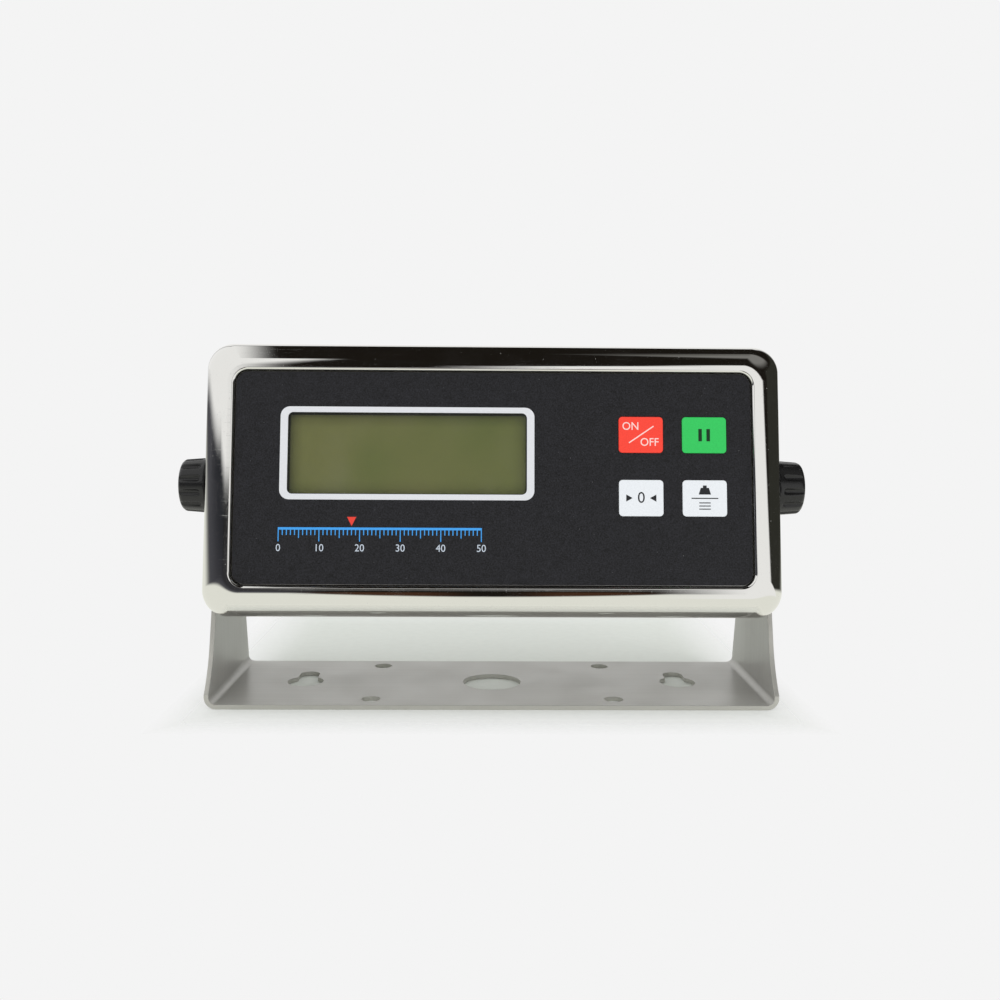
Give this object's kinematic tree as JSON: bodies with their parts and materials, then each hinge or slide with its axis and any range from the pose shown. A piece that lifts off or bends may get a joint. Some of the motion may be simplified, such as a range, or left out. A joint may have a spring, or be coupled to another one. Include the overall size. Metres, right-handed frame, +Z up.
{
  "type": "weighing indicator",
  "caption": "Weighing indicator: polished steel case with a liquid crystal display and membrane keys, tilting on a brushed steel U bracket with side knobs.",
  "frame": {"origin": "centre of the bracket's large hole, on the bracket's underside", "axes": "+X to the viewer's right along the tilt axis, +Y to the back, +Z up out of the base"},
  "size_m": [0.2802, 0.0822, 0.1526],
  "materials": {
    "brushed_steel": "brushed along its length, satin",
    "polished_steel": "mirror polished stainless sheet with fine hairline scratches",
    "satin_steel": "fine satin stainless sheet",
    "black_rubber": "matte",
    "seal_rubber": "matte",
    "charcoal_print": "fine grained polyester film",
    "white_print": "printed film",
    "clear_window": "clear hard coated film",
    "circuit_film": "printed circuit film",
    "dome_steel": "spring steel",
    "flex_tail": "polyimide flex",
    "display_green": "olive green liquid crystal glass",
    "white_plastic": "moulded",
    "light_guide": "moulded light guide",
    "tinned_pin": "tinned wire",
    "cream_plastic": "moulded nylon",
    "green_board": "glass fibre board with solder resist",
    "brass": "turned",
    "zinc_steel": "zinc plated",
    "chip_black": "moulded epoxy",
    "tin_can": "tin plated",
    "capacitor_sleeve": "shrunk sleeve",
    "battery_case": null,
    "strap_steel": "bent strip",
    "lead_sleeve": "sleeved wire",
    "post_steel": "turned",
    "stainless_screw": "stainless",
    "nickel_shell": "nickel plated",
    "black_insulator": "moulded",
    "tin_shell": "tin plated",
    "key_red": "printed film",
    "key_green": "printed film",
    "key_white": "printed film",
    "washer_steel": "stainless",
    "knob_black": "moulded, fine satin",
    "stud_steel": "threaded rod"
  },
  "bodies": {
    "bracket": {"bracket_base": "brushed_steel", "bracket_arm_left": "brushed_steel", "bracket_arm_right": "brushed_steel", "pivot_pads": "black_rubber"},
    "case": {"front_cover": "polished_steel", "rear_housing": "satin_steel", "case_seal": "seal_rubber", "keypad_overlay": "charcoal_print", "display_border": "white_print", "display_window": "clear_window", "keypad_circuit": "circuit_film", "key_domes": "dome_steel", "keypad_tail": "flex_tail", "lcd_glass": "display_green", "lcd_frame": "white_plastic", "lcd_backlight": "light_guide", "lcd_pins": "tinned_pin", "tail_socket": "cream_plastic", "main_board": "green_board", "board_standoffs": "brass", "board_screws": "zinc_steel", "board_chips": "chip_black", "converter_can": "tin_can", "board_capacitors": "capacitor_sleeve", "buzzer": "chip_black", "wire_headers": "cream_plastic", "battery": "battery_case", "battery_strap": "strap_steel", "strap_screws": "zinc_steel", "battery_leads": "lead_sleeve", "case_posts": "post_steel", "case_screws": "stainless_screw", "case_washers": "stainless_screw", "weld_nuts": "post_steel", "load_cell_socket": "nickel_shell", "load_cell_insert": "black_insulator", "load_cell_nut": "nickel_shell", "load_cell_leads": "lead_sleeve", "serial_socket": "tin_shell", "serial_insert": "black_insulator", "serial_jack_screws": "nickel_shell", "power_inlet": "black_insulator", "power_inlet_nut": "nickel_shell"},
    "key_on_off": {"key_on_off": "key_red"},
    "key_hold": {"key_hold": "key_green"},
    "key_zero": {"key_zero": "key_white"},
    "key_unit": {"key_unit": "key_white"},
    "washer_left": {"washer_left": "washer_steel"},
    "knob_left": {"knob_left": "knob_black", "stud_left": "stud_steel"},
    "washer_right": {"washer_right": "washer_steel"},
    "knob_right": {"knob_right": "knob_black", "stud_right": "stud_steel"}
  },
  "joints": [
    {"name": "case_tilt", "type": "hinge", "parent": "bracket", "child": "case", "pos_m": [0, 0.006, 0.0905], "axis": [-1, 0, 0], "range_deg": [-4.5, 165]},
    {"name": "press_on_off", "type": "slide", "parent": "case", "child": "key_on_off", "axis": [0, 0.9848, -0.1736], "range_m": [0, 0.00025], "stiffness_N_per_m": 4000},
    {"name": "press_hold", "type": "slide", "parent": "case", "child": "key_hold", "axis": [0, 0.9848, -0.1736], "range_m": [0, 0.00025], "stiffness_N_per_m": 4000},
    {"name": "press_zero", "type": "slide", "parent": "case", "child": "key_zero", "axis": [0, 0.9848, -0.1736], "range_m": [0, 0.00025], "stiffness_N_per_m": 4000},
    {"name": "press_unit", "type": "slide", "parent": "case", "child": "key_unit", "axis": [0, 0.9848, -0.1736], "range_m": [0, 0.00025], "stiffness_N_per_m": 4000},
    {"name": "washer_left_slide", "type": "slide", "parent": "case", "child": "washer_left", "axis": [-1, 0, 0], "range_m": [0, 0.002]},
    {"name": "knob_left_turn", "type": "hinge", "parent": "washer_left", "child": "knob_left", "pos_m": [0, 0.006, 0.0905], "axis": [-1, 0, 0], "range_deg": [0, 720.5]},
    {"name": "washer_right_slide", "type": "slide", "parent": "case", "child": "washer_right", "axis": [1, 0, 0], "range_m": [0, 0.002]},
    {"name": "knob_right_turn", "type": "hinge", "parent": "washer_right", "child": "knob_right", "pos_m": [0, 0.006, 0.0905], "axis": [1, 0, 0], "range_deg": [0, 720.5]}
  ],
  "couplings": [
    {"joint": "knob_left_turn", "follows": "washer_left_slide", "rad_per_m": 6283.2},
    {"joint": "knob_right_turn", "follows": "washer_right_slide", "rad_per_m": 6283.2}
  ]
}
